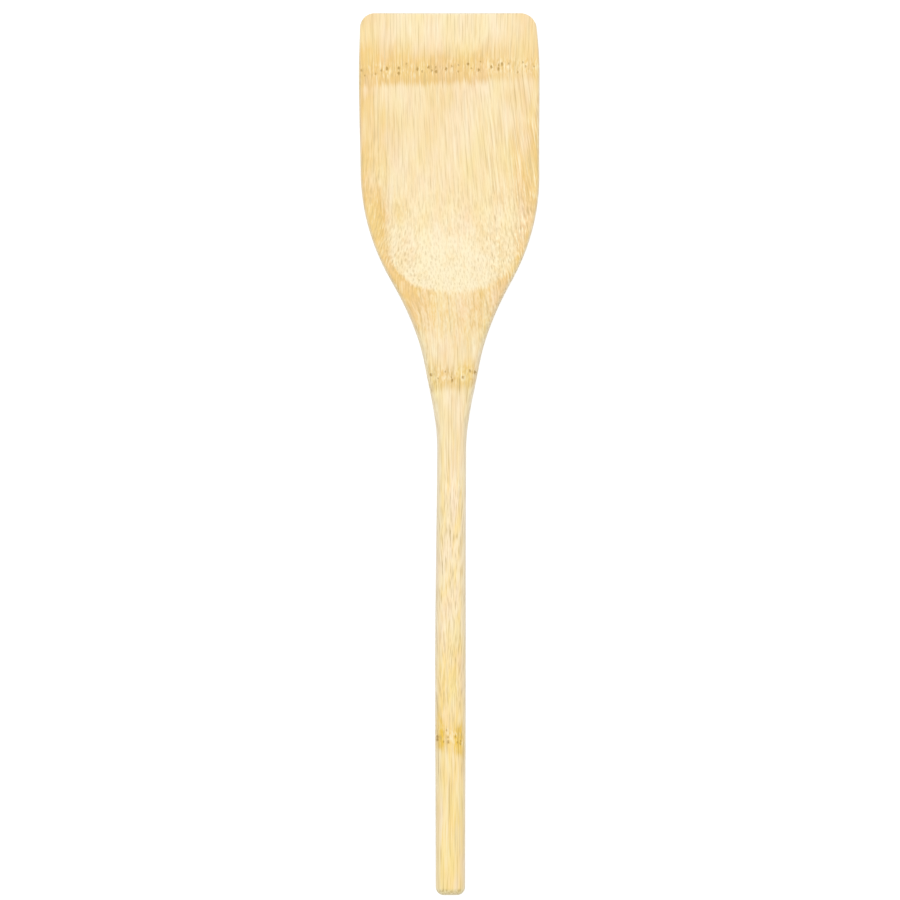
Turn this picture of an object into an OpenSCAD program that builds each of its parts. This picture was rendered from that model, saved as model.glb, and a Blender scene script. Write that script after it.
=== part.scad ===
// Bamboo spatula, carved in one piece from a strip of culm wall.
//
// The hollow face looks up (+Z), the working edge points to +Y and the butt to -Y.
// The origin lies under the middle of the whole length, on the plane that the back rests on.
// Distances named s run along the tool from the butt, and x runs across it.

/* [Handle] */
// Length of the straight handle, from the butt to where the sides start to open
handle_length = 154; // [90:1:260]
// Width of the handle at the butt
butt_width = 10.2; // [7:0.1:20]
// Width of the handle halfway along, where it swells to fill the hand
grip_width = 10.6; // [7:0.1:20]
// Width of the handle where the sides start to open
handle_width = 10; // [7:0.1:20]
// Thickness of the handle at the butt
butt_thickness = 7.4; // [4:0.1:14]
// Thickness of the handle where the sides start to open
handle_thickness = 7.8; // [4:0.1:14]
// How much lower the handle's sides are than the middle of its upper face
handle_crown = 0.5; // [0:0.1:1.5]
// Radius that the handle's long edges and its butt are rounded to
handle_edge_r = 2.8; // [0.5:0.1:3.4]
// Radius of the butt's two corners, seen from above
butt_corner_r = 2.8; // [0.5:0.1:3.5]

/* [Neck] */
// Length of the slim taper above the handle
taper_length = 29; // [15:1:60]
// Width at the end of the slim taper
taper_width = 18.8; // [12:0.1:30]
// Angle of each side to the long axis there
taper_angle = 10.5; // [4:0.5:20]
// Length from there to the middle of the flank, where the sides open most
flare_length = 29; // [20:1:60]
// Width at the middle of the flank
flare_width = 41.4; // [32:0.1:50]
// Angle of each side to the long axis there
flare_angle = 29.5; // [15:0.5:40]
// Length of the round shoulders, from the middle of the flank to the blade's sides
shoulder_length = 38; // [25:1:70]
// Height of the crest, where the neck drops into the hollow
crest_height = 10; // [7:0.1:14]
// How much lower the neck's sides are than its middle at the crest
crest_crown = 1.4; // [0:0.1:3]

/* [Blade] */
// Length of the blade's sides, from the shoulders to the widest place
side_length = 34; // [15:1:70]
// Length of the ground tip, from the widest place to the working edge
tip_length = 21; // [12:1:40]
// Width of the blade at the shoulders
shoulder_width = 61.8; // [52:0.1:80]
// Width of the blade at its widest place
blade_width = 62.5; // [52:0.1:80]
// Width of the working edge, before its corners are rounded
edge_width = 60.4; // [50:0.1:80]
// Angle by which the sides draw in at the working edge
edge_angle = 4; // [0:0.5:10]
// Radius of the working edge's two corners, seen from above
edge_corner_r = 5; // [1:0.1:12]
// Height of the rims beside the hollow at the shoulders
rim_height = 5.2; // [4:0.1:8]
// Height of the blade where the ground tip starts
tip_height = 4.6; // [3.6:0.1:7]
// Thickness of the working edge
edge_thickness = 1.6; // [0.8:0.1:3]
// How much lower the rims are at the blade's sides than at the hollow
rim_crown = 0.3; // [0:0.1:1]
// Radius that the blade's edges are rounded to
blade_edge_r = 1.4; // [0.3:0.1:2]
// How far the back rises towards the blade's sides
side_lift = 1.2; // [0:0.1:1.8]
// How far the back rises towards the working edge
tip_lift = 0.6; // [0:0.1:1.5]

/* [Hollow] */
// Distance from the shoulders back to the crest where the hollow ends
crest_setback = 41.7; // [25:0.1:55]
// Thickness of the blade at the deepest place of the hollow
floor_thickness = 3; // [1.5:0.1:4]
// How far the hollow's floor rises from there to the ground tip
floor_rise = 1.2; // [0.4:0.1:2]
// Radius of the long scoop that runs up to the crest
scoop_r = 100; // [50:1:200]
// Width of the flat middle of the floor
floor_width = 20; // [6:0.5:36]
// Radius that the floor's sides curve up to the rims with
dish_r = 45; // [20:1:120]
// Height difference below which the hollow and the face around it are sanded into each other
sanded_depth = 0.7; // [0.2:0.1:2]

/* [Hand-cut lean] */
// How far the butt stands to the right of the blade's middle
butt_offset = 0.4; // [-2:0.05:2]
// How far the neck stands to the right of the blade's middle
neck_offset = 0.95; // [-2:0.05:2]
// How far the working edge stands to the right of the blade's middle
edge_offset = -0.55; // [-2:0.05:2]

/* [Hidden] */

// Height of the flat that is left between two rounded edges
edge_land = 0.4;
// Steps across each half of the face and of the back
half_steps = 12;
// Steps along each rounded end
round_steps = 7;
// Steps along the handle, taper, flare, shoulders, sides and tip
zone_steps = [6, 6, 12, 16, 10, 7];

// Places along the tool
grip_s = handle_length / 2;
taper_s = handle_length + taper_length;
flare_s = taper_s + flare_length;
shoulder_s = flare_s + shoulder_length;
widest_s = shoulder_s + side_length;
total_length = widest_s + tip_length;
crest_s = shoulder_s - crest_setback;
// The scoop's foot, from which a parabola with the scoop's radius climbs to the crest
foot_s = crest_s + sqrt(2 * scoop_r * (crest_height - floor_thickness));

// Profiles along the tool. Each row is a place, the value there and the slope there.
half_widths = [
  [0, butt_width / 2, 0],
  [grip_s, grip_width / 2, 0],
  [handle_length, handle_width / 2, 0],
  [taper_s, taper_width / 2, tan(taper_angle)],
  [flare_s, flare_width / 2, tan(flare_angle)],
  [shoulder_s, shoulder_width / 2, 0],
  [widest_s, blade_width / 2, 0],
  [total_length, edge_width / 2, -tan(edge_angle)]
];
middles = [
  [0, butt_offset, 0],
  [grip_s, butt_offset, 0],
  [taper_s, neck_offset, 0],
  [widest_s, 0, 0],
  [total_length, edge_offset, 2 * edge_offset / tip_length]
];
tip_slope = (edge_thickness + tip_lift - tip_height) / tip_length;
face_heights = [
  [0, butt_thickness, 0],
  [handle_length, handle_thickness, 0],
  [crest_s, crest_height, 0],
  [shoulder_s, rim_height, (tip_height - rim_height) / side_length],
  [widest_s, tip_height, tip_slope],
  [total_length, edge_thickness + tip_lift, tip_slope]
];
face_crowns = [
  [0, handle_crown, 0],
  [handle_length, handle_crown, 0],
  [crest_s, crest_crown, 0],
  [shoulder_s, rim_crown, 0],
  [widest_s, rim_crown, 0],
  [total_length, 0, 0]
];
edge_radii = [
  [0, handle_edge_r, 0],
  [handle_length, handle_edge_r, 0],
  [shoulder_s, blade_edge_r, 0],
  [total_length, blade_edge_r, 0]
];

// Cubic that leaves a row with its value and slope and reaches the next row with that one's
function cubic(a, b, t) =
  let (run = b[0] - a[0])
  a[1] * (1 + 2 * t) * pow(1 - t, 2) + a[2] * run * t * pow(1 - t, 2)
  + b[1] * (3 - 2 * t) * pow(t, 2) - b[2] * run * (1 - t) * pow(t, 2);

// Value of a profile at s
function along(rows, s, i = 0) =
  s <= rows[i + 1][0] || i == len(rows) - 2
    ? cubic(rows[i], rows[i + 1], (s - rows[i][0]) / (rows[i + 1][0] - rows[i][0]))
    : along(rows, s, i + 1);

// Share of the way from a to b, held between 0 and 1
function reach(a, b, v) = min(max((v - a) / (b - a), 0), 1);

// Lower of two heights, blended where they differ by less than a depth
function sanded(a, b, depth) =
  let (t = reach(-depth, depth, b - a))
  b + (a - b) * t - depth * t * (1 - t);

// Corner radius of the plan outline at the end that s is nearer to
function corner_r(s) = s < total_length / 2 ? butt_corner_r : edge_corner_r;

// Distance from s to the nearer end
function from_end(s) = min(s, total_length - s);

// Half width at s with the end corners rounded
function plan_half(s) =
  let (r = corner_r(s), into = max(r - from_end(s), 0))
  along(half_widths, s) - r + sqrt(max(pow(r, 2) - pow(into, 2), 0));

// Distance from a point to the plan outline, inwards
function inset(off, s) =
  let (r = corner_r(s), from_side = along(half_widths, s) - off)
  from_side < r && from_end(s) < r
    ? r - norm([r - from_side, r - from_end(s)])
    : min(from_side, from_end(s));

// Height of the cutter that hollows the blade
function scoop(off, s) =
  floor_thickness
  + pow(max(foot_s - s, 0), 2) / (2 * scoop_r)
  + floor_rise * pow(max(s - foot_s, 0) / (widest_s - foot_s), 2)
  + pow(max(off - floor_width / 2, 0), 2) / (2 * dish_r);

// Upper face before its edges are rounded: the crowned strip with the hollow cut into it
function face(off, s) =
  let (
    share = off / along(half_widths, s),
    strip = along(face_heights, s) - along(face_crowns, s) * pow(share, 2)
  )
  sanded(strip, scoop(off, s), sanded_depth);

// Back before its edges are rounded: flat, and rising to the blade's sides and working edge
function back(off, s) =
  let (share = off / along(half_widths, s))
  side_lift * reach(flare_s, shoulder_s, s) * pow(share, 3)
  + tip_lift * pow(reach(widest_s, total_length, s), 2);

// How far a rounded edge cuts into the face or the back at an inset from the outline
function rounding(r, inset) =
  inset < r ? r - sqrt(pow(r, 2) - pow(r - max(inset, 0), 2)) : 0;

// Point of the face (upper is true) or the back, at s and at a share of the half width across
function skin_point(share, s, upper) =
  let (
    off = abs(share) * plan_half(s),
    top = face(off, s),
    bottom = back(off, s),
    r = min(along(edge_radii, s), (top - bottom - edge_land) / 2),
    cut = rounding(r, inset(off, s))
  )
  [
    along(middles, s) + share * plan_half(s),
    s - total_length / 2,
    upper ? top - cut : bottom + cut
  ];

// Shares across from left to right, closer together towards the rounded edges
across_shares = [for (i = [-half_steps : half_steps]) sin(90 * i / half_steps)];

// One closed section at s: the face from left to right, then the back from right to left
function section(s) = concat(
  [for (share = across_shares) skin_point(share, s, true)],
  [for (share = across_shares) skin_point(-share, s, false)]
);

// Places from a to b in equal steps, without b
function steps(a, b, count) = [for (i = [0 : count - 1]) a + (b - a) * i / count];

// Places that close up towards a rounded end, as shares of the length that it takes
round_shares = [for (i = [0 : round_steps]) 1 - cos(90 * i / round_steps)];

// Places of the sections, from the butt to the working edge
butt_round = max(butt_corner_r, handle_edge_r);
tip_round = max(edge_corner_r, blade_edge_r);
places = concat(
  [for (i = [0 : round_steps - 1]) butt_round * round_shares[i]],
  steps(butt_round, handle_length, zone_steps[0]),
  steps(handle_length, taper_s, zone_steps[1]),
  steps(taper_s, flare_s, zone_steps[2]),
  steps(flare_s, shoulder_s, zone_steps[3]),
  steps(shoulder_s, widest_s, zone_steps[4]),
  steps(widest_s, total_length - tip_round, zone_steps[5]),
  [for (i = [round_steps : -1 : 0]) total_length - tip_round * round_shares[i]]
);

// Closed solid through a list of sections, each with as many points on the face as on the back.
// Each face's points run clockwise as seen from outside.
module loft(sections) {
  count = len(sections[0]);
  last = count * (len(sections) - 1);
  walls = [
    for (k = [0 : count : last - 1], i = [0 : count - 1])
      let (a = k + i, b = k + (i + 1) % count)
        each [[a, b + count, b], [a, a + count, b + count]]
  ];
  butt_cap = [
    for (i = [0 : count / 2 - 2])
      let (opposite = count - 1 - i)
        each [[i, opposite - 1, opposite], [i, i + 1, opposite - 1]]
  ];
  edge_cap = [
    for (i = [last : last + count / 2 - 2])
      let (opposite = 2 * last + count - 1 - i)
        each [[i, opposite - 1, i + 1], [i, opposite, opposite - 1]]
  ];
  polyhedron(points = [for (ring = sections) each ring], faces = concat(walls, butt_cap, edge_cap));
}

module spatula() {
  color("burlywood") loft([for (s = places) section(s)]);
}

spatula();
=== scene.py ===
"""A bamboo spatula carved in one piece: its skin, its bamboo, and the stage that shows it.

Sizes are in metres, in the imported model's frame. The hollow face looks up (+Z), the working edge points to
+Y, and the back rests on z = 0. Places named s run along the tool from the butt, and off is the distance from
its middle line.
"""

import functools
import math
from typing import NamedTuple

import bpy
import numpy as np
from bpy.props import FloatProperty, FloatVectorProperty, IntProperty, PointerProperty
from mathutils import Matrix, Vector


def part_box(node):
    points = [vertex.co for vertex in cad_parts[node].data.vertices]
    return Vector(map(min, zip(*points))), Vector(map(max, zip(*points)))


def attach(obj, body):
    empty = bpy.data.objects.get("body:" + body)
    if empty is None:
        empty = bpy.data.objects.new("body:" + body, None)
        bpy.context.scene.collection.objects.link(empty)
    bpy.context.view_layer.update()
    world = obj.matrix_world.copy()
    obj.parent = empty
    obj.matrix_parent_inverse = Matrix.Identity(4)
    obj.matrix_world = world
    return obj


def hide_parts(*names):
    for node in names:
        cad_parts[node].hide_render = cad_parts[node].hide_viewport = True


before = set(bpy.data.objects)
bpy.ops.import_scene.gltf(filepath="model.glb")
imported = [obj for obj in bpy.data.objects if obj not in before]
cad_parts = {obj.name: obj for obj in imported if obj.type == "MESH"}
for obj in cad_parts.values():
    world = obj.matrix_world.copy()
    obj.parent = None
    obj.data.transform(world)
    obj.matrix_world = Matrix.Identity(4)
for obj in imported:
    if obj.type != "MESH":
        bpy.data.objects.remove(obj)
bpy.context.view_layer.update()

bl_info = {
    "name": "Bamboo Spatula",
    "version": (1, 0, 0),
    "blender": (4, 5, 0),
    "location": "View3D > Sidebar > Spatula",
    "description": "Carves a one-piece bamboo spatula and sets it on a plain stage",
    "category": "Add Mesh",
}

LOWEST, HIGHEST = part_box("spatula")
TOTAL_LENGTH = HIGHEST.y - LOWEST.y
BLADE_WIDTH = HIGHEST.x - LOWEST.x
WHITE = (1, 1, 1)

# Numbers that the skin holds at each of its points, for the bamboo to read: how deep the hollow is cut, how
# far the skin faces the working edge (or the butt, below 0), and how far it is into a rounded edge.
HOLLOWED = "hollowed"
ENDWARD = "endward"
ROUNDED = "rounded"


def size(name, description, default):
    """A length in metres, which the sidebar shows in the scene's own unit."""
    return FloatProperty(
        name=name, description=description, default=default, precision=5, subtype="DISTANCE", unit="LENGTH"
    )


def angle(name, description, degrees):
    """An angle that the sidebar shows in degrees."""
    return FloatProperty(
        name=name, description=description, default=math.radians(degrees), subtype="ANGLE", unit="ROTATION"
    )


def share(name, description, default):
    """A plain number from 0 to 1."""
    return FloatProperty(name=name, description=description, default=default, min=0, max=1, subtype="FACTOR")


def number(name, description, default, unit="NONE"):
    """A number of any size."""
    return FloatProperty(name=name, description=description, default=default, unit=unit)


def count(name, description, default, least):
    """A whole number that is at least so many."""
    return IntProperty(name=name, description=description, default=default, min=least)


def shade(name, description, red, green, blue):
    """A colour, given as the 8-bit screen values that it shows under even light and kept as linear light."""
    levels = [level / 255 for level in (red, green, blue)]
    linear = [((level + 0.055) / 1.055) ** 2.4 for level in levels]
    return FloatVectorProperty(
        name=name, description=description, default=linear, size=3, min=0, max=1, subtype="COLOR"
    )


class HandleShape(bpy.types.PropertyGroup):
    """Sizes of the straight handle."""

    length: size("Length", "From the butt to where the sides start to open", 0.154)
    butt_width: size("Butt width", "Width at the butt", 0.0102)
    grip_width: size("Grip width", "Width halfway along, where it swells to fill the hand", 0.0106)
    top_width: size("Top width", "Width where the sides start to open", 0.010)
    butt_thickness: size("Butt thickness", "Thickness at the butt", 0.0074)
    top_thickness: size("Top thickness", "Thickness where the sides start to open", 0.0078)
    crown: size("Crown", "How much lower the sides are than the middle of the upper face", 0.0005)
    edge_radius: size("Edge radius", "Radius of the long edges and of the butt's rim", 0.0028)
    corner_radius: size("Corner radius", "Radius of the butt's corners, seen from above", 0.0028)


class NeckShape(bpy.types.PropertyGroup):
    """Sizes of the flared neck, from the handle to the blade's sides."""

    taper_length: size("Taper length", "Length of the slim taper above the handle", 0.029)
    taper_width: size("Taper width", "Width at the end of the slim taper", 0.0188)
    taper_angle: angle("Taper angle", "Angle of each side to the long axis there", 10.5)
    flare_length: size("Flare length", "From the taper to the middle of the flank", 0.029)
    flare_width: size("Flare width", "Width at the middle of the flank", 0.0414)
    flare_angle: angle("Flare angle", "Angle of each side to the long axis there", 29.5)
    shoulder_length: size("Shoulder length", "From the middle of the flank to the blade's sides", 0.038)
    crest_height: size("Crest height", "Height where the neck drops into the hollow", 0.010)
    crest_crown: size("Crest crown", "How much lower the sides are than the middle at the crest", 0.0014)


class BladeShape(bpy.types.PropertyGroup):
    """Sizes of the square-ended blade."""

    side_length: size("Side length", "From the shoulders to the widest place", 0.034)
    shoulder_width: size("Shoulder width", "Width at the shoulders", 0.0618)
    width: size("Width", "Width at the widest place", BLADE_WIDTH)
    edge_width: size("Edge width", "Width of the working edge, before its corners are rounded", 0.0604)
    edge_angle: angle("Edge angle", "Angle by which the sides draw in at the working edge", 4)
    corner_radius: size("Corner radius", "Radius of the working edge's corners, seen from above", 0.005)
    rim_height: size("Rim height", "Height of the rims beside the hollow at the shoulders", 0.0052)
    tip_height: size("Tip height", "Height where the ground tip starts", 0.0046)
    edge_thickness: size("Edge thickness", "Thickness of the working edge", 0.0016)
    rim_crown: size("Rim crown", "How much lower the rims are at the sides than at the hollow", 0.0003)
    edge_radius: size("Edge radius", "Radius that the blade's edges are rounded to", 0.0014)
    side_lift: size("Side lift", "How far the back rises towards the sides", 0.0012)
    tip_lift: size("Tip lift", "How far the back rises towards the working edge", 0.0006)


class HollowShape(bpy.types.PropertyGroup):
    """Sizes of the hollow in the blade."""

    crest_setback: size("Crest setback", "From the shoulders back to the crest where the hollow ends", 0.0417)
    floor_thickness: size("Floor thickness", "Thickness of the blade at the deepest place", 0.003)
    floor_rise: size("Floor rise", "How far the floor rises from there to the ground tip", 0.0012)
    scoop_radius: size("Scoop radius", "Radius of the long scoop that runs up to the crest", 0.1)
    floor_width: size("Floor width", "Width of the flat middle of the floor", 0.020)
    dish_radius: size("Dish radius", "Radius that the floor's sides curve up to the rims with", 0.045)
    sanded_depth: size("Sanded depth", "Height difference below which hollow and face blend", 0.0007)


class LeanShape(bpy.types.PropertyGroup):
    """How far the hand-cut outline stands to the right of the blade's middle."""

    butt: size("Butt", "Offset of the butt", 0.0004)
    neck: size("Neck", "Offset of the neck", 0.00095)
    edge: size("Edge", "Offset of the working edge", -0.00055)


class SkinDetail(bpy.types.PropertyGroup):
    """How finely the skin is laid out."""

    edge_land: size("Edge land", "Height of the flat that is left between two rounded edges", 0.0004)
    stations: count("Stations", "Sections between the rounded ends", 440, 20)
    round_steps: count("Round steps", "Sections along each rounded end", 16, 3)
    half_steps: count("Half steps", "Steps across each half of a face", 34, 4)


class BambooFinish(bpy.types.PropertyGroup):
    """Colours, grain and sheen of the sanded and lightly oiled bamboo."""

    cream: shade("Cream", "Pale wood of the culm's inner wall", 253, 238, 200)
    honey: shade("Honey", "Warm wood of the rims, of the outer wall and of the growth nodes", 240, 200, 122)
    blush: shade("Blush", "Pinkish flames in the handle", 250, 231, 194)
    straw: shade("Straw", "Yellow flames in the handle", 250, 218, 138)
    rosy: shade("Rosy", "Pinkish tint that comes and goes in the wood", 252, 222, 202)
    lemon: shade("Lemon", "Yellowish tint that comes and goes in the wood", 247, 229, 150)
    amber: shade("Amber", "Deep yellow of the growth nodes in the handle and the neck", 240, 197, 62)
    # Painted reflection: this pale colour on the rounded edges stands in for the white surroundings that they
    # reflect at a grazing angle.
    edge_reflection_colour: shade("Bare", "Edges that are sanded and worn pale", 250, 238, 214)
    # Partly greenish end grain and partly painted shade: it darkens the surfaces that face the butt, away
    # from the softbox.
    end_grain_and_shade: shade("Moss", "Greenish end grain at the butt, and faintly on the shoulders", 208, 200, 136)
    pale: shade("Pale", "Light flecks between the fibres", 255, 243, 203)
    fibre: shade("Fibre", "Fibre bundles that run the whole length", 192, 166, 110)
    speck: shade("Speck", "Vessel ends that break through at a growth node", 168, 126, 22)
    culm_axis: size("Culm axis", "Height of the culm's own axis above the back", 0.072)
    bundle_pitch: size("Bundle pitch", "Distance between fibre bundles round the culm", 0.00165)
    bundle_layer: size("Bundle layer", "Distance between layers of bundles through the culm's wall", 0.00063)
    bundle_width: size("Bundle width", "Width of a fibre bundle round the culm", 0.00048)
    bundle_thickness: size("Bundle thickness", "Thickness of a bundle through the culm's wall", 0.00050)
    lean: angle("Lean", "Angle between the blade's fibres and the long axis, seen from above", 4.5)
    fan: number("Fan", "How much the blade's fibres spread, per metre", 2.2)
    seed: number("Seed", "Which pattern of slow patches is shown", 4.0)
    grain_height: size("Grain height", "How high the sanded grain stands", 0.00006)
    grain_strength: share("Grain strength", "How much of that height the light shows", 0.6)
    roughness: share("Roughness", "Roughness of the sanded wood between its fibres", 0.5)
    refraction: number("Refraction", "Index of refraction of the wood", 1.45)
    oil: share("Oil", "How much of the wood the oil coats", 0.2)
    oil_roughness: share("Oil roughness", "Roughness of the oil", 0.3)
    bloom: share("Bloom", "Strength of the soft sheen that fine sanding leaves", 0.35)
    bloom_roughness: share("Bloom roughness", "Roughness of that sheen", 0.4)


class StageLook(bpy.types.PropertyGroup):
    """The camera's framing, the floor and the light."""

    view_width: size("View width", "Width that the picture takes in on the floor", 0.3118)
    aim_x: size("Aim to the right", "Where the camera looks, from the spatula's middle", 0.00026)
    aim_y: size("Aim ahead", "Where the camera looks, towards the working edge", 0.0013)
    camera_height: size("Camera height", "Height of the camera over the floor", 1.8)
    sky: share("Sky", "Strength of the even light from all round", 0.737)
    softbox_x: size("Softbox to the right", "Place of the softbox, from the spatula's middle", -0.10)
    softbox_y: size("Softbox ahead", "Place of the softbox, towards the working edge", 0.35)
    softbox_height: size("Softbox height", "Height of the softbox over the floor", 1.5)
    softbox_width: size("Softbox width", "Length of each side of the softbox", 1.4)
    softbox_power: number("Softbox power", "Light that the softbox gives", 8.34, unit="POWER")
    floor_width: size("Floor width", "Length of each side of the floor", 6)
    floor_grey: share("Floor grey", "How much of the light that falls on the floor it gives back", 0.55)
    floor_white: share("Floor white", "How far the camera sees the floor lifted to white", 0.68)


class SpatulaSettings(bpy.types.PropertyGroup):
    """Everything that a user would change."""

    handle: PointerProperty(type=HandleShape)
    neck: PointerProperty(type=NeckShape)
    blade: PointerProperty(type=BladeShape)
    hollow: PointerProperty(type=HollowShape)
    lean: PointerProperty(type=LeanShape)
    skin: PointerProperty(type=SkinDetail)
    bamboo: PointerProperty(type=BambooFinish)
    stage: PointerProperty(type=StageLook)


def along(rows, s):
    """Value at s of a profile whose rows are place, value and slope.

    Between two rows, with t the share of the run between them, it is the cubic
    value1 (1 + 2t)(1 - t)^2 + slope1 run t (1 - t)^2 + value2 (3 - 2t) t^2 - slope2 run (1 - t) t^2.
    """
    place, value, slope = np.array(rows, float).T
    i = np.clip(np.searchsorted(place, s) - 1, 0, len(place) - 2)
    run = place[i + 1] - place[i]
    t = (s - place[i]) / run
    leaving = value[i] * (1 + 2 * t) * (1 - t) ** 2 + slope[i] * run * t * (1 - t) ** 2
    arriving = value[i + 1] * (3 - 2 * t) * t**2 - slope[i + 1] * run * (1 - t) * t**2
    return leaving + arriving


def reach(a, b, value):
    """Share of the way from a to b, held between 0 and 1."""
    return np.clip((value - a) / (b - a), 0, 1)


def sanded(a, b, depth):
    """Lower of two heights, blended where they differ by less than a depth.

    With t the share of the way of b - a from -depth to depth, it is b + (a - b) t - depth t (1 - t).
    """
    t = reach(-depth, depth, b - a)
    return b + (a - b) * t - depth * t * (1 - t)


class SpatulaShape:
    """The spatula's surface, worked out from its sizes as functions of s and off."""

    def __init__(self, settings):
        handle, neck, blade = settings.handle, settings.neck, settings.blade
        self.hollow, self.handle, self.blade = settings.hollow, handle, blade
        self.edge_land = settings.skin.edge_land
        lean = settings.lean
        grip = handle.length / 2
        taper = handle.length + neck.taper_length
        self.flare = taper + neck.flare_length
        self.shoulder = self.flare + neck.shoulder_length
        self.widest = self.shoulder + blade.side_length
        self.end = TOTAL_LENGTH
        tip = self.end - self.widest
        crest = self.shoulder - self.hollow.crest_setback
        climb = neck.crest_height - self.hollow.floor_thickness
        self.foot = crest + math.sqrt(2 * self.hollow.scoop_radius * climb)
        tip_slope = (blade.edge_thickness + blade.tip_lift - blade.tip_height) / tip
        rim_slope = (blade.tip_height - blade.rim_height) / blade.side_length
        self.half_widths = [
            [0, handle.butt_width / 2, 0],
            [grip, handle.grip_width / 2, 0],
            [handle.length, handle.top_width / 2, 0],
            [taper, neck.taper_width / 2, math.tan(neck.taper_angle)],
            [self.flare, neck.flare_width / 2, math.tan(neck.flare_angle)],
            [self.shoulder, blade.shoulder_width / 2, 0],
            [self.widest, blade.width / 2, 0],
            [self.end, blade.edge_width / 2, -math.tan(blade.edge_angle)],
        ]
        self.middles = [
            [0, lean.butt, 0],
            [grip, lean.butt, 0],
            [taper, lean.neck, 0],
            [self.widest, 0, 0],
            [self.end, lean.edge, 2 * lean.edge / tip],
        ]
        self.face_heights = [
            [0, handle.butt_thickness, 0],
            [handle.length, handle.top_thickness, 0],
            [crest, neck.crest_height, 0],
            [self.shoulder, blade.rim_height, rim_slope],
            [self.widest, blade.tip_height, tip_slope],
            [self.end, blade.edge_thickness + blade.tip_lift, tip_slope],
        ]
        self.face_crowns = [
            [0, handle.crown, 0],
            [handle.length, handle.crown, 0],
            [crest, neck.crest_crown, 0],
            [self.shoulder, blade.rim_crown, 0],
            [self.widest, blade.rim_crown, 0],
            [self.end, 0, 0],
        ]
        self.edge_radii = [
            [0, handle.edge_radius, 0],
            [handle.length, handle.edge_radius, 0],
            [self.shoulder, blade.edge_radius, 0],
            [self.end, blade.edge_radius, 0],
        ]

    def corner_radius(self, s):
        """Corner radius of the plan outline at the end that s is nearer to."""
        return np.where(s < self.end / 2, self.handle.corner_radius, self.blade.corner_radius)

    def from_end(self, s):
        """Distance from s to the nearer end."""
        return np.minimum(s, self.end - s)

    def plan_half(self, s):
        """Half width at s with the end corners rounded.

        It is half - r + sqrt(r^2 - (r - distance from the end)^2), where r is the corner's radius.
        """
        r = self.corner_radius(s)
        into = np.maximum(r - self.from_end(s), 0)
        return along(self.half_widths, s) - r + np.sqrt(np.maximum(r**2 - into**2, 0))

    def inset(self, off, s):
        """Distance from a point to the plan outline, inwards, and in a corner to the corner's own circle."""
        r = self.corner_radius(s)
        from_side = along(self.half_widths, s) - off
        from_end = self.from_end(s)
        in_corner = (from_side < r) & (from_end < r)
        rounded = r - np.hypot(r - from_side, r - from_end)
        return np.where(in_corner, rounded, np.minimum(from_side, from_end))

    def scoop(self, off, s):
        """Height of the cutter that hollows the blade.

        It is the floor's thickness, plus (foot - s)^2 / 2 scoop radius behind the scoop's foot, plus a
        parabola up to the floor's rise ahead of it, plus (off - half the floor's width)^2 / 2 dish radius at
        the sides.
        """
        hollow = self.hollow
        behind = np.maximum(self.foot - s, 0) ** 2 / (2 * hollow.scoop_radius)
        ahead = hollow.floor_rise * (np.maximum(s - self.foot, 0) / (self.widest - self.foot)) ** 2
        aside = np.maximum(off - hollow.floor_width / 2, 0) ** 2 / (2 * hollow.dish_radius)
        return hollow.floor_thickness + behind + ahead + aside

    def strip(self, off, s):
        """Upper face of the strip before it is hollowed: height - crown share^2."""
        across = off / along(self.half_widths, s)
        return along(self.face_heights, s) - along(self.face_crowns, s) * across**2

    def face(self, off, s):
        """Upper face before its edges are rounded: the strip, blended into the scoop."""
        return sanded(self.strip(off, s), self.scoop(off, s), self.hollow.sanded_depth)

    def hollowed(self, across, s):
        """How deep the hollow is cut below the strip, at s and at shares of the half width across."""
        off = np.abs(across) * self.plan_half(s)
        return self.strip(off, s) - self.face(off, s)

    def back(self, off, s):
        """Back before its edges are rounded.

        It is side lift share^3 in the blade, plus tip lift t^2 in the ground tip.
        """
        across = off / along(self.half_widths, s)
        sides = self.blade.side_lift * reach(self.flare, self.shoulder, s) * across**3
        return sides + self.blade.tip_lift * reach(self.widest, self.end, s) ** 2

    def side(self, across, s, upper):
        """Points of the face or the back, at s and shares of the half width across, and how rounded they are.

        A rounded edge of radius r takes r - sqrt(r^2 - (r - inset)^2) off the face and adds it to the back.
        How rounded is (r - inset) / r, which is 0 where the rounding starts and 1 at the outline.
        """
        half = self.plan_half(s)
        off = np.abs(across) * half
        top, bottom = self.face(off, s), self.back(off, s)
        r = np.minimum(along(self.edge_radii, s), (top - bottom - self.edge_land) / 2)
        into = np.maximum(r - np.maximum(self.inset(off, s), 0), 0)
        cut = r - np.sqrt(np.maximum(r**2 - into**2, 0))
        x = along(self.middles, s) + across * half
        y = s - self.end / 2 + 0 * across
        return np.stack([x, y, top - cut if upper else bottom + cut], axis=-1), into / r


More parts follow.
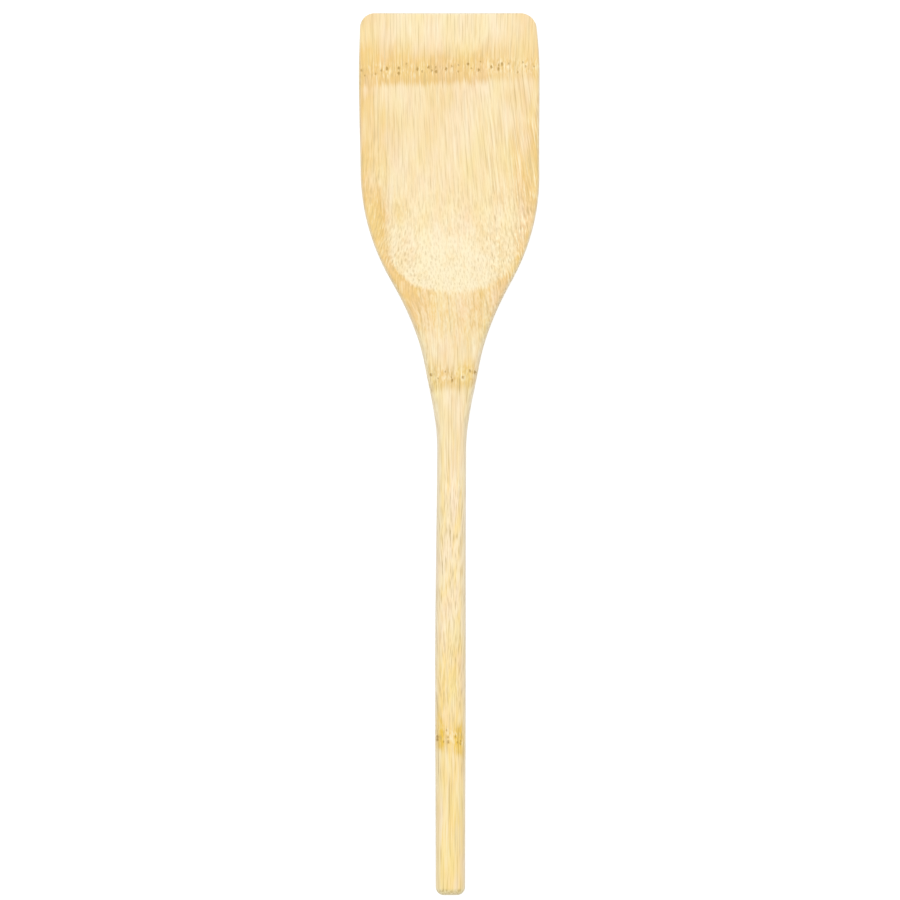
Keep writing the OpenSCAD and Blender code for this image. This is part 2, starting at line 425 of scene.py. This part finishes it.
def skin_mesh(settings):
    """The closed skin: points, rings of quads round the tool, and what the bamboo reads at each point.

    The grid runs along s, closed up at both rounded ends by 1 - cos, and round the section: across the face
    from left to right at shares sin(t), with t from -90 to 90 degrees, and back from right to left below.
    """
    shape, detail = SpatulaShape(settings), settings.skin
    butt = max(settings.handle.corner_radius, settings.handle.edge_radius)
    tip = max(settings.blade.corner_radius, settings.blade.edge_radius)
    turned = 1 - np.cos(np.linspace(0, math.pi / 2, detail.round_steps, endpoint=False))
    middle = np.linspace(butt, shape.end - tip, detail.stations)
    s = np.concatenate([butt * turned, middle, shape.end - tip * turned[::-1]])[:, None]
    across = np.sin(np.linspace(-math.pi / 2, math.pi / 2, 2 * detail.half_steps + 1))[None, :]
    upper, upper_edge = shape.side(across, s, True)
    lower, lower_edge = shape.side(-across, s, False)
    points = np.concatenate([upper, lower], axis=1)
    rings, around = points.shape[:2]
    index = np.arange(rings * around).reshape(rings, around)
    beside = np.roll(index, -1, axis=1)
    walls = np.stack([index[:-1], beside[:-1], beside[1:], index[1:]], axis=-1).reshape(-1, 4)
    half = around // 2
    face, back = index[:, :half], index[:, : half - 1 : -1]
    ends = np.stack([face[:, :-1], face[:, 1:], back[:, 1:], back[:, :-1]], axis=-1)
    quads = np.concatenate([walls, ends[0, :, ::-1], ends[-1]])
    cut = shape.hollowed(across, s)
    values = {
        HOLLOWED: np.concatenate([cut, 0 * cut], axis=1).ravel(),
        ROUNDED: np.concatenate([upper_edge, lower_edge], axis=1).ravel(),
    }
    return points.reshape(-1, 3), quads, values


def new_piece(name, points, quads, material):
    """A smooth mesh object at the origin, from points and quads that turn anticlockwise seen from outside."""
    mesh = bpy.data.meshes.new(name)
    mesh.vertices.add(len(points))
    mesh.vertices.foreach_set("co", points.ravel())
    mesh.loops.add(quads.size)
    mesh.loops.foreach_set("vertex_index", quads.ravel())
    mesh.polygons.add(len(quads))
    mesh.polygons.foreach_set("loop_start", np.arange(0, quads.size, 4))
    mesh.polygons.foreach_set("use_smooth", np.ones(len(quads), bool))
    mesh.materials.append(material)
    mesh.update(calc_edges=True)
    piece = bpy.data.objects.new(name, mesh)
    bpy.context.scene.collection.objects.link(piece)
    return piece


def keep_values(piece, name, values):
    """Keeps one number for each of a piece's points, for its material to read."""
    piece.data.attributes.new(name, "FLOAT", "POINT").data.foreach_set("value", values)


def two_sided(operation):
    """An operator that adds a Math node, and its reflected form."""

    def plain(value, other):
        return value.math(operation, other)

    def reflected(value, other):
        return value.math(operation, other, swapped=True)

    return plain, reflected


class Value:
    """One output of a shader node. Python's operators on it add Math nodes."""

    __add__, __radd__ = two_sided("ADD")
    __sub__, __rsub__ = two_sided("SUBTRACT")
    __mul__, __rmul__ = two_sided("MULTIPLY")
    __truediv__, __rtruediv__ = two_sided("DIVIDE")
    __pow__, __rpow__ = two_sided("POWER")

    def __init__(self, nodes, socket):
        self.nodes = nodes
        self.socket = socket

    def __abs__(self):
        return self.math("ABSOLUTE")

    def math(self, operation, *others, swapped=False):
        """A Math node on this value and the others."""
        operands = (*others, self) if swapped else (self, *others)
        return self.nodes.add("ShaderNodeMath", {"operation": operation}, dict(enumerate(operands)))

    def outputs(self, *names):
        """Other outputs of the same node, by name."""
        return [Value(self.nodes, self.socket.node.outputs[name]) for name in names]

    def above(self, floor):
        """How far this value is above a floor, and 0 below it."""
        return (self - floor).math("MAXIMUM", 0)

    def ramp(self, low, high, start=0, end=1):
        """Eases from start at low to end at high, and holds there on both sides."""
        return self.nodes.add(
            "ShaderNodeMapRange",
            {"interpolation_type": "SMOOTHSTEP"},
            {"Value": self, "From Min": low, "From Max": high, "To Min": start, "To Max": end},
        )

    def between(self, start, full, leaving, end):
        """Eases from 0 at start to 1 at full, and from 1 at leaving back to 0 at end."""
        return self.ramp(start, full) * self.ramp(end, leaving)


class Nodes:
    """Adds nodes to the tree of one material or world, and joins them."""

    def __init__(self, owner):
        owner.use_nodes = True
        self.tree = owner.node_tree
        self.tree.nodes.clear()

    def add(self, kind, settings=None, inputs=None, output=0):
        """One node of a kind: its settings first, then a value or a link for each socket. Returns an output.

        A colour is given as three numbers, and gets full alpha.
        """
        node = self.tree.nodes.new(kind)
        for name, value in (settings or {}).items():
            setattr(node, name, value)
        for name, value in (inputs or {}).items():
            socket = node.inputs[name]
            if isinstance(value, Value):
                self.tree.links.new(value.socket, socket)
            else:
                socket.default_value = (*value, 1) if socket.type == "RGBA" else value
        return Value(self, node.outputs[output]) if len(node.outputs) else None

    def vector(self, x, y, z):
        """Three numbers as one vector."""
        return self.add("ShaderNodeCombineXYZ", inputs={0: x, 1: y, 2: z})

    def parts(self, vector):
        """The three numbers of a vector."""
        return self.add("ShaderNodeSeparateXYZ", inputs={0: vector}).outputs("X", "Y", "Z")

    def cells(self, x, y, scatter):
        """Voronoi cells about 1 across in a plane, whose middles are moved about by a share of that."""
        inputs = {"Vector": self.vector(x, y, 0), "Scale": 1, "Randomness": scatter}
        return self.add("ShaderNodeTexVoronoi", {"voronoi_dimensions": "2D"}, inputs)

    def clouds(self, place, lengths, shift, detail, output):
        """Soft noise around 0.5 that changes over the given lengths. A shift gives another such pattern."""
        x, y, z = (axis / length for axis, length in zip(place, lengths))
        inputs = {"Vector": self.vector(x, y, z + shift if shift else z), "Scale": 1, "Detail": detail}
        return self.add("ShaderNodeTexNoise", inputs=inputs, output=output)

    def noise(self, place, lengths, shift=0, detail=1):
        """Soft noise around 0, mostly from -0.3 to 0.3, that changes over the given lengths."""
        return self.clouds(place, lengths, shift, detail, 0) - 0.5

    def jitter(self, place, lengths):
        """Two soft noises around 0 that have nothing to do with each other."""
        first, second, _ = self.parts(self.clouds(place, lengths, 0, 2, "Color"))
        return first - 0.5, second - 0.5

    def attribute(self, name):
        """A number that the mesh holds for each of its points."""
        return self.add("ShaderNodeAttribute", {"attribute_name": name}, output="Fac")

    def nearest(self, place, spots):
        """Distance from a place to the nearest of some spots."""
        settings = {"operation": "DISTANCE"}
        gaps = [
            self.add("ShaderNodeVectorMath", settings, {0: place, 1: spot}, output="Value") for spot in spots
        ]
        return functools.reduce(lambda gap, other: gap.math("MINIMUM", other), gaps)

    def blend(self, factor, first, second):
        """Two colours mixed by a factor, through the sockets that a Mix node has for colours."""
        settings = {"data_type": "RGBA", "clamp_factor": True}
        return self.add("ShaderNodeMix", settings, {0: factor, 6: first, 7: second}, output=2)


class GrowthNode(NamedTuple):
    """A line of open vessel ends across the tool, in a warm band that ends below in a brown line."""

    place: float
    """Place of the line along the tool, from the butt."""
    tilt: float
    """How far the line climbs for each metre to the right."""
    drop: float
    """From the line down to the band's lower boundary."""
    fade: float
    """Length over which the band fades above the line."""
    warmth: float
    """How much warmer the band is than the wood around it."""
    edges: float
    """Share of that warmth that keeps to the sides of the tool."""
    paler_right: float
    """Share of that warmth that is lost towards the right side."""
    vessels: tuple
    """Wide vessel ends, as their places off the middle line and along the tool."""
    pores: tuple
    """Narrow vessel ends, given in the same way."""


GROWTH_NODES = (
    GrowthNode(
        place=0.2857, tilt=0.034, drop=0.0058, fade=0.0120, warmth=0.78, edges=0, paler_right=0.6,
        vessels=(
            (-0.0215, 0.2856), (-0.0174, 0.2857), (-0.0174, 0.2840), (-0.0110, 0.2855), (-0.0072, 0.2861),
            (-0.0046, 0.2846), (-0.0011, 0.2855), (0.0065, 0.2872), (0.0102, 0.2852), (0.0145, 0.2862),
            (0.0170, 0.2855), (0.0182, 0.2872),
        ),
        pores=(
            (-0.0304, 0.2851), (-0.0292, 0.2833), (-0.0255, 0.2838), (-0.0235, 0.2850), (-0.0148, 0.2873),
            (-0.0094, 0.2847), (-0.0060, 0.2850), (-0.0046, 0.2861), (0.0009, 0.2864), (0.0031, 0.2846),
            (0.0032, 0.2868), (0.0077, 0.2858), (0.0108, 0.2880), (0.0170, 0.2868), (0.0205, 0.2873),
            (0.0236, 0.2844), (0.0254, 0.2878), (0.0264, 0.2864), (0.0293, 0.2864),
        ),
    ),
    GrowthNode(
        place=0.1795, tilt=0.08, drop=0.0054, fade=0.0065, warmth=0.50, edges=0.2, paler_right=0.3,
        vessels=((-0.0063, 0.1798), (0.0010, 0.1778), (0.0047, 0.1789), (0.0071, 0.1810), (0.0089, 0.1806)),
        pores=((-0.0039, 0.1784), (-0.0014, 0.1808), (0.0007, 0.1789)),
    ),
    GrowthNode(
        place=0.0552, tilt=-0.24, drop=0.0066, fade=0.0085, warmth=1.25, edges=0.75, paler_right=0,
        vessels=((-0.0041, 0.0539), (-0.0041, 0.0548), (-0.0003, 0.0530)),
        pores=(
            (-0.0020, 0.0532), (-0.0010, 0.0571), (-0.0003, 0.0547), (0.0022, 0.0549),
            (0.0029, 0.0529), (0.0039, 0.0524), (0.0040, 0.0534),
        ),
    ),
)

# Radii round a vessel end where its opening starts to fade and where it is gone, for wide and narrow ends.
VESSEL_RADII = (0.00012, 0.00064)
PORE_RADII = (0.00006, 0.00050)

# Distances to vessel ends are shortened by this along the tool, so the openings are longer that way.
VESSEL_SHORTENING = 0.72

# Slope of the fibres against the back, from each place along the tool to the next, or to the end.
FIBRE_SLOPES = ((0.054, -0.09), (0.145, 0.01), (0.200, 0.055), (0.262, 0), (0.284, -0.07))

# Stretch of the tool where the blade's fibres lean and fan out.
FANNED_FROM, FANNED_TO = 0.190, 0.284

# Places between which the handle's own wood takes over from the neck's.
HANDLE_WOOD = (0.170, 0.140)

# Height over the back from which depth in the culm's wall is counted.
FACE_HEIGHT = 0.010


class Place(NamedTuple):
    """Where a point of the wood is."""

    x: Value
    """To the right of the tool's middle."""
    y: Value
    """Towards the working edge, from the middle of the tool's length."""
    z: Value
    """Over the back."""
    s: Value
    """Along the tool, from the butt."""
    depth: Value
    """Through the culm's wall, away from the culm's axis."""
    layer: Value
    """The same depth as the climbing fibres have it."""
    fibre_around: Value
    """Length of arc round the culm, as the leaning and wavy fibres have it."""
    fibre_depth: Value
    """Depth as the climbing and wavy fibres have it."""


class Grain(NamedTuple):
    """The wood's own patterns. All of them run around 0, apart from the bundles."""

    bundles: Value
    """Fibre bundles, 1 inside one and 0 between them."""
    strands: Value
    """Long strands between the bundles."""
    fine: Value
    """The finest fibres."""
    mottle: Value
    """Short flecks."""
    stripes: Value
    """Broad stripes that run far along the fibres."""
    figure: Value
    """Small flames."""
    flames: Value
    """Long flames, where a surface cuts through the layers of the culm's wall."""
    patches: Value
    """Slow patches of warmer and paler wood."""
    tint: Value
    """Slow change between a yellowish and a pinkish tint."""


class Zones(NamedTuple):
    """Parts of the tool with a look of their own, 1 inside each and 0 outside."""

    grip: Value
    """The handle, with its own yellow and pinkish wood."""
    scooped: Value
    """Surfaces that face the working edge, most of all the hollow's end, where fibres show as dots."""
    butt_end: Value
    """Surfaces that face the butt: its own end, and the flanks of the neck and the shoulders."""
    rim: Value
    """The blade outside its hollow: the rims and the back, less near the middle line."""
    low_left: Value
    """The left half up to the middle of the blade, where the rim is warmest."""
    low_right: Value
    """A short stretch of the right half, where the rim is warmer too."""
    outer: Value
    """The outer wall of the culm, which the blade reaches at its sides."""
    above_crest: Value
    """Everything from the crest to the working edge."""
    below_crest: Value
    """The neck just below the crest."""
    neck: Value
    """The rest of the neck, which is paler."""
    dashes: Value
    """The stretch where the fibres show as dashes."""
    flanks: Value
    """The blade's sides, on the left within the hollow, where flecks stand out. It is 1.5 on the right."""
    crisp: Value
    """From above the handle's growth node to the crest, where the grain is sharper."""


class Growth(NamedTuple):
    """What the growth nodes add to the wood."""

    bands: Value
    """The warm bands."""
    rows: Value
    """The rows of short flecks along their lines."""
    warmth: Value
    """How much warmer the wood is there."""
    lines: Value
    """The brown lines at the feet of the bands."""
    opened: Value
    """The open vessel ends."""


def fibre_rise(s):
    """How far the fibres have climbed at s: each stretch's slope times the length that is behind s."""
    rise, last = 0, 0
    for start, slope in FIBRE_SLOPES:
        rise = s.above(start) * (slope - last) + rise
        last = slope
    return rise


def wood_place(nodes, finish):
    """Where a point is in the tool, in the culm's wall and among the fibres.

    Depth is the distance from the culm's axis, the root of x^2 + (axis - z)^2, counted from the face's
    height, and the length of arc is the angle at that axis times the axis's height. The fibres lean and fan
    out in the blade, sway along the whole tool, curl in the handle, swing out at the left shoulder, and climb
    and dive through the wall.
    """
    x, y, z = place = nodes.parts(nodes.add("ShaderNodeTexCoord", output="Object"))
    s = y + TOTAL_LENGTH / 2
    below_axis = finish.culm_axis - z
    depth = (x * x + below_axis * below_axis) ** 0.5 - (finish.culm_axis - FACE_HEIGHT)
    around = x.math("ARCTAN2", below_axis) * finish.culm_axis
    leaning = (s.above(FANNED_FROM) - s.above(FANNED_TO)) * (around * finish.fan + math.tan(finish.lean))
    sway = nodes.noise(place, (0.020, 0.120, 0.020)) * 0.003
    curl = nodes.noise(place, (0.006, 0.020, 0.006)) * 0.0014 * s.ramp(*HANDLE_WOOD)
    dive = nodes.noise(place, (0.018, 0.030, 0.018), shift=7) * 0.0014
    swing = s.between(0.196, 0.208, 0.212, 0.238) * x.ramp(-0.002, -0.024) * 0.0060
    layer = depth + fibre_rise(s)
    return Place(x, y, z, s, depth, layer, around + leaning + sway + curl + swing, layer + dive)


def fibre_bundles(nodes, finish, u, d):
    """1 inside a fibre bundle and 0 between them. In the culm's cross-section each bundle is an oval.

    It falls with across^2 + through^2, the distances from the bundle's middle in shares of its half sizes,
    and it is weaker in some bundles than in others. Each layer of bundles stands half a pitch aside from the
    next.
    """
    pitch, layer = finish.bundle_pitch, finish.bundle_layer
    row = d / layer
    middle, mark = nodes.cells(u / pitch - row * 0.5, row, 0.6).outputs("Position", "Color")
    middle_u, middle_row, _ = nodes.parts(middle)
    across = (u - (middle_u + middle_row * 0.5) * pitch) / (finish.bundle_width / 2)
    through = (d - middle_row * layer) / (finish.bundle_thickness / 2)
    strength = nodes.parts(mark)[0].ramp(0, 1, 0.35, 1)
    return (across * across + through * through).ramp(0.25, 1.6, 1, 0) * strength


def wood_grain(nodes, finish, at):
    """The wood's patterns, most of them long in the fibres' own direction."""
    place = (at.x, at.y, at.z)
    fibres = (at.fibre_around, at.y, at.fibre_depth)
    return Grain(
        bundles=fibre_bundles(nodes, finish, at.fibre_around, at.fibre_depth),
        strands=nodes.noise(fibres, (0.0005, 0.018, 0.0005)),
        fine=nodes.noise(fibres, (0.00036, 0.008, 0.00036)),
        mottle=nodes.noise(fibres, (0.0006, 0.0018, 0.0006)),
        stripes=nodes.noise(fibres, (0.0018, 0.050, 0.0014)),
        figure=nodes.noise(fibres, (0.0016, 0.013, 0.0008)),
        flames=nodes.noise((at.x, at.y, at.layer), (0.012, 0.040, 0.0011)),
        patches=nodes.noise(place, (0.012, 0.026, 0.012), shift=finish.seed, detail=2),
        tint=nodes.noise(place, (0.0055, 0.015, 0.0055), shift=11),
    )


def tool_zones(nodes, at):
    """The parts of the tool, by their places and by what the skin holds.

    The hollow's own wood starts at a depth that is larger beside the lower rims, which so look wider there.
    """
    x, s = at.x, at.s
    endward = nodes.attribute(ENDWARD)
    beside = x.ramp(-0.010, -0.020) + x.ramp(0.010, 0.020, 0, 0.65)
    thick_rim = s.between(0.214, 0.228, 0.232, 0.250) * beside * 0.0010
    fading = s.ramp(0.212, 0.230, 0.0006, 0.0009) + thick_rim * 0.7
    in_hollow = (nodes.attribute(HOLLOWED) - thick_rim * 0.35).ramp(0, fading)
    left_flank = x.ramp(-0.010, -0.016) * s.between(0.206, 0.228, 0.238, 0.250) * in_hollow
    right_flank = x.ramp(0.010, 0.016, 0, 1.5) * s.between(0.206, 0.216, 0.262, 0.285)
    return Zones(
        grip=s.ramp(*HANDLE_WOOD),
        scooped=endward.ramp(0.06, 0.30),
        butt_end=endward.ramp(-0.05, -0.45),
        rim=(1 - in_hollow) * s.between(0.190, 0.206, 0.272, 0.286) * abs(x).ramp(0.002, 0.012, 0.4, 1),
        low_left=s.ramp(0.252, 0.236) * x.ramp(0, -0.016),
        low_right=s.between(0.222, 0.238, 0.242, 0.252) * x.ramp(0, 0.016),
        outer=at.depth.ramp(0.0095, 0.0130),
        above_crest=s.ramp(0.200, 0.212),
        below_crest=s.between(0.184, 0.198, 0.206, 0.222) * (1 - in_hollow),
        neck=s.between(0.150, 0.175, 0.190, 0.204),
        dashes=s.between(0.190, 0.202, 0.236, 0.262),
        flanks=right_flank + left_flank,
        crisp=s.between(0.066, 0.090, 0.194, 0.204),
    )


def vessel_ends(nodes, spot, ends, radii, strength):
    """Open vessel ends of one width: full strength up to the first radius and nothing past the second."""
    shortened = [(x, s * VESSEL_SHORTENING, 0) for x, s in ends]
    return nodes.nearest(spot, shortened).ramp(*radii, strength, 0)


def node_marks(nodes, at, grain, waver, spot, node):
    """What one growth node adds. Its band has a ragged foot and fades away above."""
    height = at.s - (at.x * node.tilt + waver * 0.0018 + node.place)
    above_foot = height + grain.strands * 0.0034 + grain.fine * 0.0018 + grain.stripes * 0.0016 + node.drop
    fall = (height + grain.flames * 0.012 + grain.stripes * 0.006).ramp(0, node.fade, 1, 0)
    at_sides = abs(at.x).ramp(0.0008, 0.0030, 1 - node.edges, 1)
    to_right = at.x.ramp(0.010, 0.024, 1, 1 - node.paler_right)
    band = above_foot.ramp(-0.0009, 0.0030) * fall * at_sides * to_right
    wide = vessel_ends(nodes, spot, node.vessels, VESSEL_RADII, 1)
    narrow = vessel_ends(nodes, spot, node.pores, PORE_RADII, 0.75)
    return Growth(
        bands=band,
        rows=abs(height).ramp(0.0010, 0.0042, 1, 0),
        warmth=band * node.warmth,
        lines=band * above_foot.ramp(0.0016, 0.0034, 1, 0),
        opened=wide.math("MAXIMUM", narrow),
    )


def growth_marks(nodes, at, grain):
    """What all the growth nodes add. Their lines waver, and their vessel ends have ragged outlines."""
    waver = nodes.noise((at.x, at.z, 3.3), (0.005, 0.005, 1))
    aside, ahead = nodes.jitter((at.x, at.s, at.z), (0.0005, 0.0007, 0.002))
    spot = nodes.vector(at.x + aside * 0.0006, (at.s + ahead * 0.0012) * VESSEL_SHORTENING, 0)
    marks = [node_marks(nodes, at, grain, waver, spot, node) for node in GROWTH_NODES]
    return Growth(*map(sum, zip(*marks)))


def honey_share(at, grain, zones, growth):
    """How far the wood of the neck and the blade goes from cream to honey."""
    return (
        0.38
        + zones.outer * 0.22
        + zones.rim * (grain.patches * 1.1 + zones.low_left * 0.62 + zones.low_right * 0.26 + 0.24)
        + grain.flames * 0.5
        + grain.patches * 0.5
        + grain.fine * 0.20
        + grain.mottle * (growth.rows * 1.1 + growth.bands * 0.3 + zones.below_crest * 0.9 + 0.12)
        + grain.figure * (0.9 - zones.above_crest * 0.5)
        - zones.neck * 0.09
        + zones.below_crest * 0.12
        + grain.stripes * 0.55
        + growth.warmth
        # Paler on surfaces that face the working edge: partly paler end grain, partly painted light from the
        # softbox's side.
        - zones.scooped * (0.31 - abs(at.x).ramp(0.005, 0.016) * 0.16)
    )


def straw_share(at, grain, growth):
    """How far the wood of the handle goes from blush to straw."""
    return (
        grain.figure * 1.4
        + grain.patches * 0.9
        + grain.strands * 0.4
        + grain.fine * 0.6
        + grain.mottle * growth.rows * 1.6
        + grain.stripes * at.s.ramp(0.060, 0.045, 1.2, 2.2)
        + at.s.ramp(0.120, 0.065, -0.22, 0.22)
    ).ramp(-0.7, 0.7)


def ground_colour(nodes, finish, at, grain, zones, growth):
    """Colour of the wood between its fibres: each layer is laid over the ones before it, last painted
    reflection and painted shade.
    """
    blade = nodes.blend(honey_share(at, grain, zones, growth), finish.cream, finish.honey)
    handle = nodes.blend(straw_share(at, grain, growth), finish.blush, finish.straw)
    ground = nodes.blend(zones.grip, blade, handle)
    tinge = nodes.blend(grain.tint.ramp(-0.06, 0.06), finish.lemon, finish.rosy)
    tinged = abs(grain.tint) * (growth.rows * 0.4 + zones.grip * 0.5 - zones.scooped * 0.5 + 1.15)
    ground = nodes.blend(tinged, ground, tinge)
    gold = growth.warmth * at.s.ramp(0.200, 0.140) * (grain.mottle * 1.6 + 1)
    ground = nodes.blend(gold, ground, finish.amber)
    # Painted reflection: the rounded edges are blended towards a pale colour, as if they caught the white
    # surroundings at a grazing angle.
    painted_reflection = nodes.attribute(ROUNDED).ramp(0.2, 1.1, 0, 0.55)
    ground = nodes.blend(painted_reflection, ground, finish.edge_reflection_colour)
    # Greenish end grain with painted shade, on surfaces that face the butt and so turn away from the softbox.
    return nodes.blend(zones.butt_end * (zones.grip * 0.3 + 0.1), ground, finish.end_grain_and_shade)


def wood_colour(nodes, finish, at, grain, zones, growth):
    """The ground with light flecks, dark fibres and bundles, and open vessel ends laid over it."""
    spotted = growth.rows * 0.6 + zones.dashes * 0.45
    texture = grain.strands * 0.8 + grain.fine * 0.6 + grain.mottle * spotted
    light = (
        growth.rows * 0.9 + growth.bands * 0.8 + zones.scooped * 1.4 + zones.butt_end * 2
        + zones.grip * 0.7 + zones.rim * 0.4 + zones.flanks * 1.4 + zones.crisp * 0.35 + 1
    )
    dark = (
        growth.bands * 0.7 + zones.grip * 1.05 + zones.butt_end * (zones.grip * 0.5 + 0.3)
        + zones.rim * 0.6 + zones.flanks * 0.3 + zones.crisp * 0.3 + 0.95
    )
    dots = zones.scooped * (abs(at.x).ramp(0.008, 0.018) * 0.14 + 0.01)
    end_grain = zones.butt_end * (zones.grip * 0.35 + 0.2)
    flecks = (0 - texture).above(0.02) * light
    streaks = grain.bundles * (dots + end_grain + 0.26) + texture.above(0) * dark + growth.lines * 0.10
    ground = ground_colour(nodes, finish, at, grain, zones, growth)
    wood = nodes.blend(flecks, ground, finish.pale)
    wood = nodes.blend(streaks, wood, finish.fibre)
    return nodes.blend(growth.opened * 0.82, wood, finish.speck)


def bamboo(finish):
    """Bamboo as a solid: fibre bundles in layers round the culm's axis, which lies above the hollow face.

    A surface that runs along the fibres shows long streaks, and one that cuts across them dashes and dots.
    """
    material = bpy.data.materials.new("sanded_bamboo")
    nodes = Nodes(material)
    at = wood_place(nodes, finish)
    grain = wood_grain(nodes, finish, at)
    zones = tool_zones(nodes, at)
    growth = growth_marks(nodes, at, grain)
    relief = {
        "Height": grain.strands * 0.5 - grain.bundles * 0.5 - growth.opened,
        "Distance": finish.grain_height,
        "Strength": finish.grain_strength,
    }
    wood = {
        "Base Color": wood_colour(nodes, finish, at, grain, zones, growth),
        "Roughness": finish.roughness + 0.12 * grain.bundles + 0.10 * zones.scooped,
        "Normal": nodes.add("ShaderNodeBump", inputs=relief, output="Normal"),
        "IOR": finish.refraction,
        "Coat Weight": finish.oil,
        "Coat Roughness": finish.oil_roughness,
        "Sheen Weight": finish.bloom,
        "Sheen Roughness": finish.bloom_roughness,
    }
    surface = nodes.add("ShaderNodeBsdfPrincipled", inputs=wood)
    nodes.add("ShaderNodeOutputMaterial", inputs={"Surface": surface})
    return material


def seen_directly(nodes):
    """1 for rays of the camera, of reflections and through clear glass, and 0 for rays that carry light."""
    names = ("Is Camera Ray", "Is Glossy Ray", "Is Transmission Ray")
    camera, glossy, clear = nodes.add("ShaderNodeLightPath").outputs(*names)
    return (camera + glossy + clear).math("MINIMUM", 1)


def paper_white(look):
    """Floor that the camera and reflections see lifted to white, and that still takes a shadow."""
    material = bpy.data.materials.new("paper_white")
    nodes = Nodes(material)
    sheet = nodes.add("ShaderNodeBsdfDiffuse", inputs={"Color": [look.floor_grey] * 3})
    glow = nodes.add("ShaderNodeEmission", inputs={"Color": WHITE, "Strength": look.floor_white})
    lit = nodes.add("ShaderNodeAddShader", inputs={0: sheet, 1: glow})
    seen = nodes.add("ShaderNodeMixShader", inputs={0: seen_directly(nodes), 1: sheet, 2: lit})
    nodes.add("ShaderNodeOutputMaterial", inputs={"Surface": seen})
    return material


def white_world(look):
    """Even sky of the given strength that shows as plain white behind the spatula."""
    world = bpy.data.worlds.new("white_studio")
    nodes = Nodes(world)
    light = nodes.add("ShaderNodeBackground", inputs={"Color": WHITE, "Strength": look.sky})
    white = nodes.add("ShaderNodeBackground", inputs={"Color": WHITE, "Strength": 1})
    shown = nodes.add("ShaderNodeMixShader", inputs={0: seen_directly(nodes), 1: light, 2: white})
    nodes.add("ShaderNodeOutputWorld", inputs={"Surface": shown})
    return world


def hang_softbox(scene, look):
    """Square area lamp that shines from its place at the spatula's middle."""
    lamp = bpy.data.lights.new("softbox", "AREA")
    lamp.shape = "SQUARE"
    lamp.size = look.softbox_width
    lamp.energy = look.softbox_power
    holder = bpy.data.objects.new("softbox", lamp)
    holder.location = (look.softbox_x, look.softbox_y, look.softbox_height)
    holder.rotation_euler = holder.location.to_track_quat("Z", "Y").to_euler()
    scene.collection.objects.link(holder)


def place_camera(scene, look):
    """Camera that looks straight down, with the lens that takes in the view's width on the floor."""
    optics = bpy.data.cameras.new("camera")
    optics.lens = optics.sensor_width * look.camera_height / look.view_width
    camera = bpy.data.objects.new("camera", optics)
    camera.location = (look.aim_x, look.aim_y, look.camera_height)
    scene.collection.objects.link(camera)
    scene.camera = camera


class SPATULA_OT_carve(bpy.types.Operator):
    """Carve the spatula's skin and give it its bamboo"""

    bl_idname = "spatula.carve"
    bl_label = "Carve spatula"

    def execute(self, context):
        settings = context.scene.spatula
        points, quads, values = skin_mesh(settings)
        piece = new_piece("bamboo_spatula", points, quads, bamboo(settings.bamboo))
        normals = np.empty(len(points) * 3)
        piece.data.vertices.foreach_get("normal", normals)
        for name, numbers in (values | {ENDWARD: normals[1::3]}).items():
            keep_values(piece, name, numbers)
        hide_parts("spatula")
        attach(piece, "root")
        return {"FINISHED"}


class SPATULA_OT_stage(bpy.types.Operator):
    """Set the floor, the light and the camera"""

    bl_idname = "spatula.stage"
    bl_label = "Set stage"

    def execute(self, context):
        scene = context.scene
        look = scene.spatula.stage
        corners = np.array([[-1, -1, 0], [1, -1, 0], [1, 1, 0], [-1, 1, 0]], float) * look.floor_width / 2
        floor = new_piece("floor", corners, np.array([[0, 1, 2, 3]]), paper_white(look))
        scene.world = white_world(look)
        hang_softbox(scene, look)
        place_camera(scene, look)
        scene.view_settings.view_transform = "Standard"
        return {"FINISHED"}


class SPATULA_PT_panel(bpy.types.Panel):
    """Lists the steps that make the spatula"""

    bl_label = "Bamboo Spatula"
    bl_idname = "SPATULA_PT_panel"
    bl_space_type = "VIEW_3D"
    bl_region_type = "UI"
    bl_category = "Spatula"

    def draw(self, context):
        for step in (SPATULA_OT_carve, SPATULA_OT_stage):
            self.layout.operator(step.bl_idname)


CLASSES = (
    HandleShape,
    NeckShape,
    BladeShape,
    HollowShape,
    LeanShape,
    SkinDetail,
    BambooFinish,
    StageLook,
    SpatulaSettings,
    SPATULA_OT_carve,
    SPATULA_OT_stage,
    SPATULA_PT_panel,
)


def register():
    """Makes the sizes, the steps and the panel known to Blender."""
    for kind in CLASSES:
        bpy.utils.register_class(kind)
    bpy.types.Scene.spatula = PointerProperty(type=SpatulaSettings)


def unregister():
    """Takes them away again."""
    del bpy.types.Scene.spatula
    for kind in reversed(CLASSES):
        bpy.utils.unregister_class(kind)


def main():
    """Builds the spatula and its stage."""
    register()
    bpy.ops.spatula.carve()
    bpy.ops.spatula.stage()


if __name__ == "__main__":
    main()
